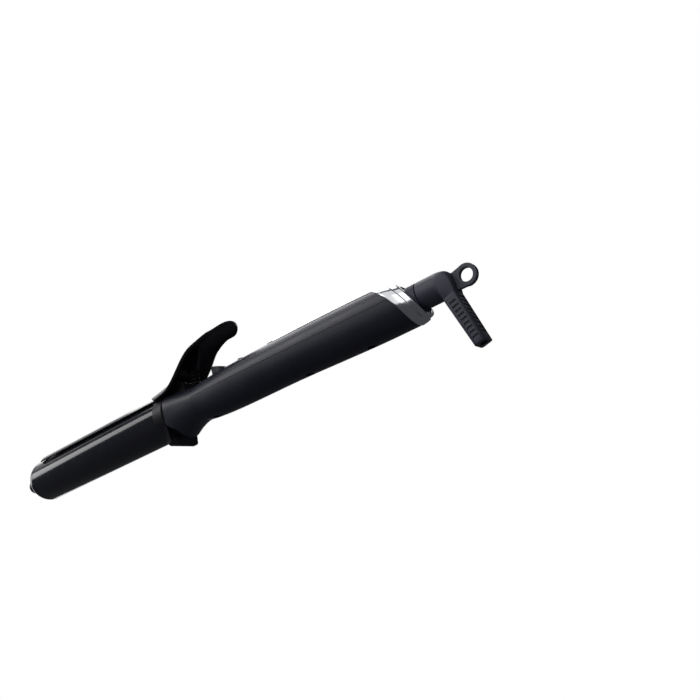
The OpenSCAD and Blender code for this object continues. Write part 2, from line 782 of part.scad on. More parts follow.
barrel_tube();
end_dome();
tip_knob();
tip_screw();
heater_block_upper();
heater_block_lower();
heater_elements();
spreader_spring();
thermistor();
thermal_fuse();
barrel_bush();
heater_leads();
stand_foot();
nose_cone();
hinge_base();
hinge_pin();
hinge_screws();
handle_upper_shell();
handle_lower_shell();
inner_frame();
top_panel();
trim_strip();
bezel();
end_cap();
shell_screws();
circuit_board();
board_parts();
switch_board();
button_switches();
swivel_socket();
brush_holder();
contact_brushes();
supply_leads();
power_button();
temperature_button();
clip_plate();
clip_lever();
lever_rib();
clip_rivets();
clip_spring();
cord_elbow();
spindle_ring();
contact_rings();
strain_relief();
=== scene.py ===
# %% [markdown]
# # A hair curling iron, finished in cells
# The measured model of the iron is already made: every tube, shell, screw and button is a node
# of it, at its true size. This lesson gives those nodes their finishes, and swaps the ones whose
# surfaces are curved in two directions for finer surfaces worked out from the same formulas.

# %% Load the measured model
import json
import math
import bmesh
import bpy
import numpy as np
from mathutils import Matrix, Vector


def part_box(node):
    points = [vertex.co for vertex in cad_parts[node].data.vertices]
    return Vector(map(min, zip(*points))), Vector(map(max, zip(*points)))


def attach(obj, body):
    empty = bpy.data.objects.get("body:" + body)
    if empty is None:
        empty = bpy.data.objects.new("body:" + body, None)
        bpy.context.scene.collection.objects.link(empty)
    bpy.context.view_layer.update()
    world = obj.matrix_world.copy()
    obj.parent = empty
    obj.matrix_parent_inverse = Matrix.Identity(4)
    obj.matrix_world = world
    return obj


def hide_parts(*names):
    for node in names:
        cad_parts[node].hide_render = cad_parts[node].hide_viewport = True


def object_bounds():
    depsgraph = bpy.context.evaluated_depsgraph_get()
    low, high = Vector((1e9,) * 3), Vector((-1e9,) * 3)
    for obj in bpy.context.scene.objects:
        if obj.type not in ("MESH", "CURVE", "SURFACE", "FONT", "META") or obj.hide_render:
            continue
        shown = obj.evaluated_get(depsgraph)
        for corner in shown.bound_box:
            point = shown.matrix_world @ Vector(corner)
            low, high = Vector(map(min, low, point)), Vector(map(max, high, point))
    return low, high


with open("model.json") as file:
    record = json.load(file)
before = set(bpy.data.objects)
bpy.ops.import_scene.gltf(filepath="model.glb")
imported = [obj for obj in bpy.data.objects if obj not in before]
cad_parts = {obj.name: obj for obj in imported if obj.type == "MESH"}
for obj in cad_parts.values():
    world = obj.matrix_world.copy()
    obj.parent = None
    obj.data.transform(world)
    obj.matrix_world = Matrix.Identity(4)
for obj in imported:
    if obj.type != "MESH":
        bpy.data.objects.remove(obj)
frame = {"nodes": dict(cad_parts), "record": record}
cad_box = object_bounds()
nodes = frame["nodes"]
print("nodes loaded:", len(nodes))

# %% [markdown]
# ## One place to measure from
# The iron is easiest to describe from the barrel's own axis, in millimetres, with x running
# from the collar towards the cord. The model itself is in metres and starts under the stand foot.
# One small function turns the first into the second, and the barrel tells us where its axis is.

# %% Axis and scale
barrel_low, barrel_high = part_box("barrel_tube")
barrel_r = (barrel_high.y - barrel_low.y) * 500
axis_up = (barrel_high.z + barrel_low.z) / 2
tube_end = 5.5
collar_x = barrel_high.x - tube_end / 1000
barrel_front = (barrel_low.x - collar_x) * 1000


def placed(points):
    """Millimetres from the barrel's axis become metres in the model's frame."""
    return np.asarray(points, float) / 1000 + np.array([collar_x, 0, axis_up])


print("barrel radius", round(barrel_r, 2), "front at", round(barrel_front, 1))

# %% [markdown]
# ## Turning numbers into a mesh
# Every surface here is a list of closed loops, one after another, like the frames of a boat. Faces
# join each loop to the next. A tube that ends is closed by zipping the two halves of its last
# loop together, and a ring joins its last loop to its first. Numpy builds all the faces at once.

# %% Loops to faces
def loft_faces(rows, count, ring=False):
    """Quads between neighbouring loops; unless it is a ring, end strips zip a loop's two halves."""
    i, j = np.meshgrid(np.arange(rows if ring else rows - 1), np.arange(count), indexing="ij")
    down = ((i + 1) % rows) * count
    across = (j + 1) % count
    quads = np.stack([i * count + j, i * count + across, down + across, down + j], -1).reshape(-1, 4)
    if ring:
        return quads
    k = np.arange(count // 2 - 1)
    strip = np.stack([k, count - 1 - k, count - 2 - k, k + 1], -1)
    return np.concatenate([quads, strip, strip[:, ::-1] + (rows - 1) * count])


def show(mesh, name, body, finish, node_names=(), edge=0.0, crease=35):
    """Links a mesh as a piece: merged, normals outward, smooth up to a crease, edges rounded off."""
    work = bmesh.new()
    work.from_mesh(mesh)
    bmesh.ops.remove_doubles(work, verts=work.verts, dist=2e-6)
    bmesh.ops.dissolve_degenerate(work, edges=work.edges, dist=1e-6)
    bmesh.ops.recalc_face_normals(work, faces=work.faces)
    work.to_mesh(mesh)
    work.free()
    mesh.shade_smooth()
    mesh.set_sharp_from_angle(angle=math.radians(crease))
    piece = bpy.data.objects.new(name, mesh)
    bpy.context.scene.collection.objects.link(piece)
    mesh.materials.clear()
    mesh.materials.append(finish)
    if edge:
        bevel = piece.modifiers.new("rounded edges", "BEVEL")
        bevel.width = edge / 1000
        bevel.segments = 2
        bevel.limit_method = "ANGLE"
        bevel.angle_limit = math.radians(crease)
        bevel.harden_normals = True
    if node_names:
        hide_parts(*node_names)
    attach(piece, body)
    return piece


def loft(name, loops, body, finish, node_names=(), ring=False, edge=0.0, cuts=()):
    """A piece lofted through loops, an array of rows x points x 3 in millimetres."""
    loops = np.asarray(loops, float)
    rows, count = loops.shape[:2]
    mesh = bpy.data.meshes.new(name)
    faces = loft_faces(rows, count, ring)
    mesh.from_pydata(placed(loops.reshape(-1, 3)).tolist(), [], faces.tolist())
    if cuts:
        mesh = drilled(mesh, cuts)
    piece = show(mesh, name, body, finish, node_names, edge)
    print(name, len(piece.data.polygons), "faces")
    return piece


# %% [markdown]
# ## Holes
# A drilled hole is a Boolean: the shell minus a plain round or square bar. The bars are helpers
# and are thrown away as soon as the hole is cut, so only the finished shell stays in the scene.

# %% Drill helper
def drilled(mesh, cuts):
    """The mesh minus bars; each bar is (x, y, z, half size x, half size y, height, sides)."""
    work = bmesh.new()
    work.from_mesh(mesh)
    bmesh.ops.remove_doubles(work, verts=work.verts, dist=2e-6)
    bmesh.ops.recalc_face_normals(work, faces=work.faces)
    work.to_mesh(mesh)
    work.free()
    body = bpy.data.objects.new("shell being cut", mesh)
    bpy.context.scene.collection.objects.link(body)
    for x, y, z, half_x, half_y, height, sides in cuts:
        turn = 2 * np.pi * (np.arange(sides) + 0.5) / sides
        grow = 1 / np.cos(np.pi / sides) if sides == 4 else 1.0
        outline = np.stack([x + half_x * grow * np.cos(turn), y + half_y * grow * np.sin(turn)], -1)
        low = np.concatenate([outline, np.full((sides, 1), z)], 1)
        points = placed(np.concatenate([low, low + [0, 0, height]]))
        k = np.arange(sides)
        walls = np.stack([k, (k + 1) % sides, (k + 1) % sides + sides, k + sides], -1).tolist()
        bar_mesh = bpy.data.meshes.new("bar")
        bar_mesh.from_pydata(points.tolist(), [], walls + [k[::-1].tolist(), (k + sides).tolist()])
        bar = bpy.data.objects.new("bar", bar_mesh)
        bpy.context.scene.collection.objects.link(bar)
        cut = body.modifiers.new("cut", "BOOLEAN")
        cut.operation = "DIFFERENCE"
        cut.object = bar
        bpy.context.view_layer.update()
        result = bpy.data.meshes.new_from_object(body.evaluated_get(bpy.context.evaluated_depsgraph_get()))
        body.modifiers.clear()
        body.data = result
        bpy.data.objects.remove(bar)
    result = body.data
    bpy.data.objects.remove(body)
    return result


# %% [markdown]
# ## Finishes
# Nothing on a real object is one flat colour. Each finish below starts from a Principled shader
# and feeds its colour, roughness and bump from noise measured on the object itself, so the grain
# has a true size: millimetres on the part, whatever the camera does. The reader can change one
# scale and see the grain grow.

# %% A finish from noise
def finish(name, dark, light, rough, grain, bump, metal=0.0, stretch=(1, 1, 1), coat=0.0,
           coat_rough=0.05, level=0.5, patch=60.0):
    """Two colours mixed by slow noise, roughness between two values and bump from fine noise."""
    material = bpy.data.materials.new(name)
    material.use_nodes = True
    tree = material.node_tree
    shader = tree.nodes["Principled BSDF"]
    shader.inputs["Metallic"].default_value = metal
    shader.inputs["Specular IOR Level"].default_value = level
    shader.inputs["Coat Weight"].default_value = coat
    shader.inputs["Coat Roughness"].default_value = coat_rough
    where = tree.nodes.new("ShaderNodeTexCoord")
    turn = tree.nodes.new("ShaderNodeMapping")
    turn.inputs["Scale"].default_value = stretch
    tree.links.new(where.outputs["Object"], turn.inputs["Vector"])
    slow = tree.nodes.new("ShaderNodeTexNoise")
    slow.inputs["Scale"].default_value = patch
    slow.inputs["Detail"].default_value = 4
    tree.links.new(turn.outputs["Vector"], slow.inputs["Vector"])
    fine = tree.nodes.new("ShaderNodeTexNoise")
    fine.inputs["Scale"].default_value = grain
    fine.inputs["Detail"].default_value = 3
    tree.links.new(turn.outputs["Vector"], fine.inputs["Vector"])
    colour = tree.nodes.new("ShaderNodeMix")
    colour.data_type = "RGBA"
    colour.inputs["A"].default_value = (*dark, 1)
    colour.inputs["B"].default_value = (*light, 1)
    tree.links.new(slow.outputs["Fac"], colour.inputs["Factor"])
    tree.links.new(colour.outputs["Result"], shader.inputs["Base Color"])
    spread = tree.nodes.new("ShaderNodeMapRange")
    spread.inputs["From Min"].default_value = 0.3
    spread.inputs["From Max"].default_value = 0.7
    spread.inputs["To Min"].default_value = rough[0]
    spread.inputs["To Max"].default_value = rough[1]
    tree.links.new(slow.outputs["Fac"], spread.inputs["Value"])
    tree.links.new(spread.outputs["Result"], shader.inputs["Roughness"])
    relief = tree.nodes.new("ShaderNodeBump")
    relief.inputs["Strength"].default_value = bump[0]
    relief.inputs["Distance"].default_value = bump[1] / 1000
    tree.links.new(fine.outputs["Fac"], relief.inputs["Height"])
    tree.links.new(relief.outputs["Normal"], shader.inputs["Normal"])
    material.diffuse_color = (*light, 1)
    return material


# %% [markdown]
# ### The coating of the barrel and the clip
# The barrel is coated metal: nearly black, a little blue, and glossy enough to mirror a lamp with
# a crisp edge. What keeps it from looking like glass is a faint orange-peel, a ripple far below a
# tenth of a millimetre, and tiny mineral flecks in the coating.

# %% Coating
barrel_coating = finish("barrel_coating", (0.011, 0.0115, 0.017), (0.019, 0.02, 0.028), (0.1, 0.17),
                        420, (0.05, 0.02), coat=0.25, coat_rough=0.06, level=0.5, patch=180)
clip_coating = finish("clip_coating", (0.012, 0.0125, 0.018), (0.02, 0.021, 0.029), (0.12, 0.19),
                      420, (0.05, 0.02), coat=0.25, coat_rough=0.07, level=0.5, patch=160)


def add_flecks(material, size, amount, fleck):
    """Scattered cells of a Voronoi pattern lighten the colour where their distance is smallest."""
    tree = material.node_tree
    shader = tree.nodes["Principled BSDF"]
    base = shader.inputs["Base Color"].links[0].from_socket
    where = tree.nodes.new("ShaderNodeTexCoord")
    cells = tree.nodes.new("ShaderNodeTexVoronoi")
    cells.inputs["Scale"].default_value = size
    tree.links.new(where.outputs["Object"], cells.inputs["Vector"])
    keep = tree.nodes.new("ShaderNodeMapRange")
    keep.inputs["From Min"].default_value = 0.0
    keep.inputs["From Max"].default_value = 0.22
    keep.inputs["To Min"].default_value = amount
    keep.inputs["To Max"].default_value = 0.0
    tree.links.new(cells.outputs["Distance"], keep.inputs["Value"])
    blend = tree.nodes.new("ShaderNodeMix")
    blend.data_type = "RGBA"
    blend.inputs["B"].default_value = (*fleck, 1)
    tree.links.new(keep.outputs["Result"], blend.inputs["Factor"])
    tree.links.new(base, blend.inputs["A"])
    tree.links.new(blend.outputs["Result"], shader.inputs["Base Color"])


add_flecks(barrel_coating, 1600, 0.5, (0.06, 0.062, 0.075))
add_flecks(clip_coating, 1600, 0.5, (0.06, 0.062, 0.075))
print("coatings made")

# %% [markdown]
# ### Moulded plastics
# The handle is moulded in a dark, slightly blue plastic. Its mould was spark-eroded, which leaves
# an even leather-like grain about a quarter of a millimetre across and a satin gloss. The foot
# and the lever come from smoother moulds, so their grain is finer and their gloss higher.

# %% Plastics
handle_plastic = finish("handle_plastic", (0.018, 0.019, 0.031), (0.028, 0.03, 0.047), (0.34, 0.44),
                        1500, (0.08, 0.03), level=0.5, patch=45)
# The lower shell wears the handle's plastic made darker and less glossy: painted shade standing for the
# shade that falls under the handle.
lower_shell_shaded_plastic = finish("lower_shell_painted_shade", (0.014, 0.015, 0.026), (0.022, 0.024, 0.039), (0.36, 0.46),
                       1500, (0.08, 0.03), level=0.42, patch=45)
lever_plastic = finish("lever_plastic", (0.008, 0.008, 0.012), (0.014, 0.0145, 0.02), (0.33, 0.43),
                       900, (0.14, 0.05), level=0.45, patch=70)
foot_plastic = finish("foot_plastic", (0.008, 0.008, 0.012), (0.013, 0.0135, 0.019), (0.34, 0.42),
                      900, (0.1, 0.04), level=0.4, patch=70)
button_plastic = finish("button_plastic", (0.035, 0.036, 0.044), (0.05, 0.051, 0.06), (0.38, 0.46),
                        1100, (0.12, 0.04), level=0.5, patch=90)
panel_gloss = finish("panel_gloss", (0.006, 0.006, 0.009), (0.01, 0.01, 0.014), (0.05, 0.1),
                     500, (0.03, 0.01), coat=0.5, coat_rough=0.03, patch=90)
cord_rubber = finish("cord_rubber", (0.052, 0.055, 0.078), (0.073, 0.077, 0.104), (0.42, 0.52),
                     1300, (0.16, 0.05), level=0.45, patch=60)
print("plastics made")

# %% [markdown]
# ### Metals and inner parts
# Chrome takes all its colour from what it mirrors, so it needs hair-fine polishing lines more
# than it needs a colour. Drawn steel has grain along its length, which stretching the noise gives.
# The inner parts have finishes too: a repairer who opens the handle meets them.

# %% Metals and inner parts
trim_chrome = finish("trim_chrome", (0.72, 0.73, 0.75), (0.82, 0.83, 0.85), (0.12, 0.2),
                     700, (0.05, 0.015), metal=1.0, stretch=(0.3, 1, 1), patch=50)
steel = finish("drawn_steel", (0.42, 0.42, 0.44), (0.58, 0.58, 0.6), (0.24, 0.38),
               900, (0.12, 0.02), metal=1.0, stretch=(1, 1, 0.15), patch=200)
spring_steel = finish("spring_steel", (0.3, 0.3, 0.32), (0.46, 0.46, 0.48), (0.26, 0.4),
                      900, (0.1, 0.02), metal=1.0, patch=240)
blackened_steel = finish("blackened_steel", (0.012, 0.012, 0.014), (0.022, 0.022, 0.026), (0.4, 0.55),
                         900, (0.1, 0.02), metal=0.4, patch=240)
block_aluminium = finish("cast_aluminium", (0.55, 0.56, 0.57), (0.7, 0.7, 0.71), (0.38, 0.56),
                         800, (0.3, 0.05), metal=1.0, patch=120)
contact_brass = finish("contact_brass", (0.55, 0.37, 0.14), (0.72, 0.53, 0.25), (0.22, 0.36),
                       900, (0.1, 0.02), metal=1.0, patch=160)
ceramic = finish("heater_ceramic", (0.72, 0.69, 0.62), (0.82, 0.8, 0.74), (0.6, 0.78),
                 1200, (0.2, 0.04), patch=120)
bush_plastic = finish("bush_plastic", (0.05, 0.045, 0.04), (0.075, 0.068, 0.06), (0.45, 0.6),
                      1100, (0.2, 0.04), patch=80)
board_green = finish("board_green", (0.012, 0.09, 0.03), (0.02, 0.13, 0.045), (0.25, 0.38),
                     900, (0.08, 0.02), patch=150)
parts_black = finish("moulded_parts", (0.02, 0.02, 0.022), (0.034, 0.034, 0.038), (0.4, 0.55),
                     1200, (0.15, 0.03), patch=150)
lead_rubber = finish("silicone_lead", (0.3, 0.04, 0.03), (0.42, 0.07, 0.05), (0.4, 0.55),
                     1000, (0.12, 0.03), patch=110)
print("materials so far:", len(bpy.data.materials))

# %% [markdown]
# ## Dressing the nodes that stay
# Parts with an exact, simple shape stay as they are and only get their finish. The list names
# each finish once with the nodes that wear it.

# %% Finish of every kept node
wears = {
    barrel_coating: ["barrel_tube", "end_dome"],
    handle_plastic: ["tip_knob", "nose_cone", "handle_upper_shell"],
    lower_shell_shaded_plastic: ["handle_lower_shell"],
    foot_plastic: ["stand_foot", "end_cap"],
    clip_coating: ["clip_plate"],
    lever_plastic: ["clip_lever", "lever_rib"],
    panel_gloss: ["top_panel"],
    trim_chrome: ["trim_strip", "bezel"],
    button_plastic: ["power_button", "temperature_button"],
    cord_rubber: ["swivel_socket", "cord_elbow", "strain_relief"],
    steel: ["tip_screw", "hinge_pin", "hinge_screws", "shell_screws", "button_switches", "clip_rivets"],
    spring_steel: ["spreader_spring", "spindle_ring"],
    blackened_steel: ["hinge_base", "clip_spring"],
    block_aluminium: ["heater_block_upper", "heater_block_lower"],
    ceramic: ["heater_elements", "thermal_fuse"],
    contact_brass: ["thermistor", "contact_brushes", "contact_rings"],
    bush_plastic: ["barrel_bush", "inner_frame", "brush_holder"],
    board_green: ["circuit_board", "switch_board"],
    parts_black: ["board_parts"],
    lead_rubber: ["heater_leads", "supply_leads"],
}
dressed = {}
for material, names in wears.items():
    for node_name in names:
        nodes[node_name].data.materials.clear()
        nodes[node_name].data.materials.append(material)
        dressed[node_name] = material
print("dressed:", len(dressed), "bare:", sorted(set(nodes) - set(dressed)))

# %% [markdown]
# ## Exact parts with softened edges
# No moulded or turned part has a perfectly sharp edge; light always catches a thin line on it.
# A copy of the node is merged into one skin, shaded smooth between creases, and given a Bevel of
# a few tenths of a millimetre. The copy then stands for the node.

# %% Softened copies
bodies = frame["record"]["behaviour"]["bodies"]
body_of = {node_name: body for body, members in bodies.items() for node_name in members}


def softened(node_name, edge, crease=35):
    """A merged copy of a node with rounded edges, riding on the node's own body."""
    return show(nodes[node_name].data.copy(), node_name + "_soft", body_of[node_name],
                dressed[node_name], [node_name], edge, crease)


soft_edges = {"stand_foot": 0.35, "swivel_socket": 0.25, "strain_relief": 0.25, "power_button": 0.35,
              "temperature_button": 0.3, "end_cap": 0.3, "hinge_base": 0.3, "hinge_pin": 0.15,
              "clip_rivets": 0.15, "hinge_screws": 0.15, "lever_rib": 0.3}
for node_name, edge in soft_edges.items():
    softened(node_name, edge)
for node_name in ("shell_screws", "tip_screw", "clip_spring"):
    softened(node_name, 0.0, 50)
print("softened copies:", len(soft_edges) + 3)

# %% [markdown]
# ## Turned parts: barrel, rounded end and knob
# A turned part is a profile spun round an axis. The profile here is a closed line of radius and
# position; its corners are first rounded with small arcs, the way a lathe tool leaves them.

# %% Profile and lathe
def rounded(profile, radius, steps=5):
    """Each corner becomes a curve through points a share of the way along its two sides."""
    points = np.asarray(profile, float)
    before = np.roll(points, 1, 0) - points
    after = np.roll(points, -1, 0) - points
    reach_a = np.minimum(radius / np.linalg.norm(before, axis=1), 0.45)[:, None]
    reach_b = np.minimum(radius / np.linalg.norm(after, axis=1), 0.45)[:, None]
    start, end = points + before * reach_a, points + after * reach_b
    t = np.linspace(0, 1, steps)[None, :, None]
    curve = (1 - t) ** 2 * start[:, None] + 2 * t * (1 - t) * points[:, None] + t ** 2 * end[:, None]
    return curve.reshape(-1, 2)


def turned(name, profile, finish_used, node_names, segments=160, body="handle"):
    """The closed profile of (radius, x) spun round the barrel's axis."""
    profile = np.asarray(profile, float)
    turn = np.linspace(0, 2 * np.pi, segments, endpoint=False)[:, None]
    radius, x = profile[None, :, 0], profile[None, :, 1]
    loops = np.stack([x + 0 * turn, radius * np.cos(turn), radius * np.sin(turn)], -1)
    return loft(name, loops, body, finish_used, node_names, ring=True)


wall = 1.2
bore_r = barrel_r - wall
turned("barrel_skin", rounded([[barrel_r, barrel_front], [barrel_r, tube_end], [bore_r, tube_end],
                               [bore_r, barrel_front]], 0.25), barrel_coating, ["barrel_tube"])

# %% Rounded end
dome_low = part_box("end_dome")[0]
dome_front = (dome_low.x - collar_x) * 1000
knob_low, knob_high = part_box("tip_knob")
knob_r = (knob_high.y - knob_low.y) * 500
knob_front = (knob_low.x - collar_x) * 1000
shoulder = 8.5
arc = np.linspace(0, np.pi / 2, 24)
shoulder_line = np.stack([barrel_r - shoulder + shoulder * np.cos(arc),
                          barrel_front - 0.12 - (shoulder - 0.12) * np.sin(arc)], -1)
nozzle = rounded([[barrel_r - shoulder + 0.6, barrel_front - shoulder],
                  [knob_r + 2.2, barrel_front - shoulder - 0.5], [knob_r + 0.4, dome_front],
                  [1.7, dome_front], [1.7, barrel_front + 6.9], [bore_r - 0.05, barrel_front + 6.9],
                  [bore_r - 0.05, barrel_front - 0.12]], 1.2)[3:]
turned("dome_skin", np.concatenate([shoulder_line, nozzle]), barrel_coating, ["end_dome"])

# %% Knob on the tip
turned("knob_skin", rounded([[1.2, dome_front], [knob_r, dome_front], [knob_r, knob_front + 2.4],
                             [knob_r - 2.2, knob_front], [0.02, knob_front],
                             [0.02, knob_front + 1.5], [1.2, knob_front + 1.6]], 0.9),
       handle_plastic, ["tip_knob"], 96)
print("knob front at", round(knob_front, 1))

# %% [markdown]
# ## The clip
# The clip is a strip of sheet metal bent to the barrel's curve and held 1.4 mm off it. Seen from
# above, its front corners are cut round, and the last few millimetres curl in towards the barrel.
# A loop of the loft is one cross-section: the outer arc one way and the inner arc back.

# %% Clip sheet
clip_gap = 1.4
sheet = 1.0
clip_in = barrel_r + clip_gap
clip_out = clip_in + sheet
clip_front = (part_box("clip_plate")[0].x - collar_x) * 1000
clip_back = 9.0
half_angle = math.radians(48)


def ease(t):
    """Zero below 0, one above 1, and a smooth climb of 3t squared less 2t cubed between."""
    t = np.clip(t, 0, 1)
    return t * t * (3 - 2 * t)


def clip_loops(rows=150, count=24):
    """Half width follows a circle in plan; near the front the radius eases in to the barrel."""
    share = np.linspace(0, 1, rows) ** 1.6
    x = clip_front + (clip_back - clip_front) * share
    plan = np.sqrt(np.maximum(16.0 ** 2 - np.minimum(x - clip_front - 12, 0) ** 2, 1))
    half = np.minimum(half_angle, np.arcsin(np.minimum(plan / clip_out, 0.99)))
    curl = np.minimum((x - clip_front) / 5, 1)
    inner = barrel_r + 0.4 + (clip_gap - 0.4) * curl
    outer = inner + sheet * (0.6 + 0.4 * curl)
    v = np.linspace(-1, 1, count)
    a = half[:, None] * v
    over = np.stack([x[:, None] + 0 * a, outer[:, None] * np.sin(a), outer[:, None] * np.cos(a)], -1)
    under = np.stack([x[:, None] + 0 * a, inner[:, None] * np.sin(a), inner[:, None] * np.cos(a)], -1)
    return np.concatenate([over, under[:, ::-1]], 1)


loft("clip_sheet", clip_loops(), "clip", clip_coating, ["clip_plate"], edge=0.22)

# %% Hinge ears of the clip
pin_low, pin_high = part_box("hinge_pin")
hinge_x = ((pin_low.x + pin_high.x) / 2 - collar_x) * 1000
hinge_z = ((pin_low.z + pin_high.z) / 2 - axis_up) * 1000


def ear_loops(y0, wide=1.2, eye=2.0):
    """Two copies of one outline, a wedge that runs into the round eye, a wall apart."""
    turn = np.linspace(-np.pi / 2, 0.6 * np.pi, 29)
    eye_line = np.stack([hinge_x + eye * np.cos(turn), hinge_z + eye * np.sin(turn)], -1)
    wedge = np.array([[clip_back - 5, clip_out - 0.1], [clip_back - 5, clip_in - 0.5],
                      [clip_back, clip_in]])
    line = np.concatenate([eye_line, wedge])
    return np.stack([np.stack([line[:, 0], np.full(len(line), y), line[:, 1]], -1)
                     for y in (y0, y0 + wide)])


for name, y0 in (("clip_ear_left", 3.4), ("clip_ear_right", -4.6)):
    loft(name, ear_loops(y0), "clip", clip_coating, edge=0.2)

# %% [markdown]
# ## The thumb lever
# The lever grows out of the clip, sweeps up in an S and ends in a round tip. Its section is an
# arc, like half a pipe, so the thumb meets a hollow back. Under the rim the wall is a little thicker:
# a moulded lip that stiffens the edge and shows as a fine line round the hollow.

# %% Lever surface
lever_front, lever_len, lever_rise, lever_arc = -3.5, 77.5, 24.6, 19.6
lever_root = clip_out + 1.2


def lever_top(x):
    """A steady climb plus one smooth S between 15.5 and 47.5 mm from the root."""
    u = x - lever_front
    climb, climb_end = 0.16, 61.5
    return (lever_root + climb * np.minimum(u, climb_end)
            + (lever_rise - climb * climb_end) * ease((u - 15.5) / 32))


def lever_half(u):
    """Half width: full at the root, narrower after the S, and a quarter ellipse at the tip."""
    end = lever_len - 11
    body = 16.5 - 4.2 * ease((u - 33.5) / 28)
    body = body - 6 * np.where(u < 8, (1 - u / 8) ** 2, 0)
    tip = 12.3 * np.sqrt(np.maximum(0.0004, 1 - (np.maximum(u - end, 0) / 11) ** 2))
    return np.where(u < end, body, tip)


def lever_loops(rows=170, count=40):
    """Points on the outer arc, then on the same arc moved in by the wall, wall varying to the rim."""
    share = np.linspace(0, 1, rows)
    u = lever_len * np.where(share < 0.8, share / 0.8 * 0.87, 1 - 0.13 * ((1 - share) / 0.2) ** 1.8)
    u = u[:, None]
    v = np.sin(np.linspace(-np.pi / 2, np.pi / 2, count))[None, ::-1]
    x = lever_front + u
    slope = lever_top(x + 0.5) - lever_top(x - 0.5)
    lean = np.sqrt(1 + slope * slope)
    q = np.arcsin(v * lever_half(u) / lever_arc)

    def at(inset):
        r = lever_arc - inset
        return np.stack([x + inset * slope / lean + 0 * q, r * np.sin(q),
                         lever_top(x) - lever_arc + r * np.cos(q) - inset * (1 / lean - 1)], -1)

    near_tip = ease((u - 65) / 9)
    rim = np.maximum(ease((np.abs(v) - 0.8) / 0.12), near_tip * ease((u - lever_len + 3.2) / 1.2))
    wall_here = 1.15 + 0.4 * ease((u - 12) / 10) + 0.35 * rim * ease((u - 22) / 8)
    return np.concatenate([at(0.0), at(wall_here)[:, ::-1]], 1)


loft("lever_skin", lever_loops(), "clip", lever_plastic, ["clip_lever"], edge=0.3)

# %% [markdown]
# ## The handle's skin
# Both shells, the nose, the panel and the bezel share one skin. At each place along the handle
# the section is a squashed circle (a superellipse), with its own height above the axis, depth below
# it and half width. The slanted end is part of a big circle seen from the side; the sections lean over
# gradually to meet it, so the shells end exactly on the slant.

# %% Skin formulas
nose_x, nose_end = 9.0, 34.0
handle_top, handle_bottom, handle_half = 15.0, 15.4, 14.3
bend_r, bend_x, bend_z = 50.0, 157.0, -29.0
power = 2.2


def top_h(x):
    """Height above the axis: the nose swells, a waist follows, and the back falls away."""
    return (handle_top - 2.6 * np.exp(-np.maximum(0, x - nose_end) / 20)
            + 3.9 * (np.maximum(0, nose_end - x) / 25) ** 2
            - 1.8 * (np.maximum(0, x - 110) / 80) ** 2)


def low_h(x):
    """Depth below the axis: a flared skirt in front, a neck, then the grip."""
    return (handle_bottom - 2.3 * np.exp(-np.maximum(0, x - nose_end) / 14)
            + 6.6 * (np.maximum(0, nose_end - x) / 20) ** 2 + 2.2 * ease((x - 100) / 90))


def half_w(x):
    """Half width: a shallow waist behind the nose and a wider mouth at the barrel."""
    return handle_half - np.exp(-((x - 36) / 16) ** 2) + 1.9 * (1 - ease((x - nose_x) / 22))


def skin(x, turn, inset=0.0):
    """Superellipse point at an angle from +Y towards +Z, moved inwards by inset."""
    c, s = np.cos(turn), np.sin(turn)
    height = np.where(s > 0, top_h(x), low_h(x)) - inset
    return np.stack([x + 0 * c, np.sign(c) * np.abs(c) ** (2 / power) * (half_w(x) - inset),
                     np.sign(s) * np.abs(s) ** (2 / power) * height], -1)


def end_x(z, more=0.0):
    """Where the slanted end's circle, grown by more, stands at a height z."""
    return bend_x + np.sqrt((bend_r + more) ** 2 - (z - bend_z) ** 2)


def grip(x0, share, turn, inset=0.0, more=0.0):
    """Skin point a share of the way from x0 to the slant, found by two rounds of correction."""
    near = skin(x0 + (bend_x + 36 - x0) * share, turn, inset)
    p = near
    for _ in range(3):
        x = x0 + (end_x(p[..., 2], more) - x0) * share
        p = skin(x, turn, inset)
    return np.stack([x0 + (end_x(p[..., 2], more) - x0) * share, p[..., 1], p[..., 2]], -1)


def seam_turn(x, shift=0.0):
    """Angle on the section of the seam, which falls slowly towards the rear."""
    return np.arcsin(((3.3 - 0.016 * x + shift) / top_h(x)) ** (power / 2))


print("handle section at 80 mm:", round(float(top_h(80.0)), 2), round(float(low_h(80.0)), 2))

# %% [markdown]
# ### Upper and lower shell
# Each shell is a C-shaped loop swept along the handle: the outer arc and, 1.8 mm further in, the
# inner arc back. The two stop a tenth of a millimetre short of the seam, which leaves the fine dark
# line where they meet. The upper shell is drilled for the buttons, the lower one for its screws.

# %% Shells
shell = 1.8
seam_gap = 0.12


def shell_loops(start_of, end_of, rows=170, count=72):
    """C loops: angle runs between the two seams, outer arc out and inner arc back."""
    share = np.linspace(0, 1, rows)[:, None]
    x = nose_end + (bend_x + 36 - nose_end) * share
    j = np.linspace(0, 1, count)[None, :]
    turn = start_of(x) + (end_of(x) - start_of(x)) * j
    outer = grip(nose_end + 0.1, share, turn)
    inner = grip(nose_end + 0.1, share, turn, shell)
    return np.concatenate([outer, inner[:, ::-1]], 1)


power_x, temp_x = 53.5, 75.0
power_r = (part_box("power_button")[1].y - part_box("power_button")[0].y) * 500
temp_r = (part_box("temperature_button")[1].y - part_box("temperature_button")[0].y) * 500
button_holes = [(power_x, 0, 5, power_r + 0.25, power_r + 0.25, 20, 72),
                (temp_x, 0, 5, temp_r + 0.25, temp_r + 0.25, 20, 72)]
loft("upper_shell_skin",
     shell_loops(lambda x: seam_turn(x, seam_gap), lambda x: np.pi - seam_turn(x, seam_gap)),
     "handle", handle_plastic, ["handle_upper_shell"], edge=0.12, cuts=button_holes)
screw_holes = [(x, 0, -30, 2.9, 2.9, 25, 48) for x in (43, 124, 172)]
loft("lower_shell_skin", shell_loops(lambda x: np.pi - seam_turn(x, -seam_gap),
                                     lambda x: 2 * np.pi + seam_turn(x, -seam_gap)),
     "handle", lower_shell_shaded_plastic, ["handle_lower_shell"], edge=0.12, cuts=screw_holes)

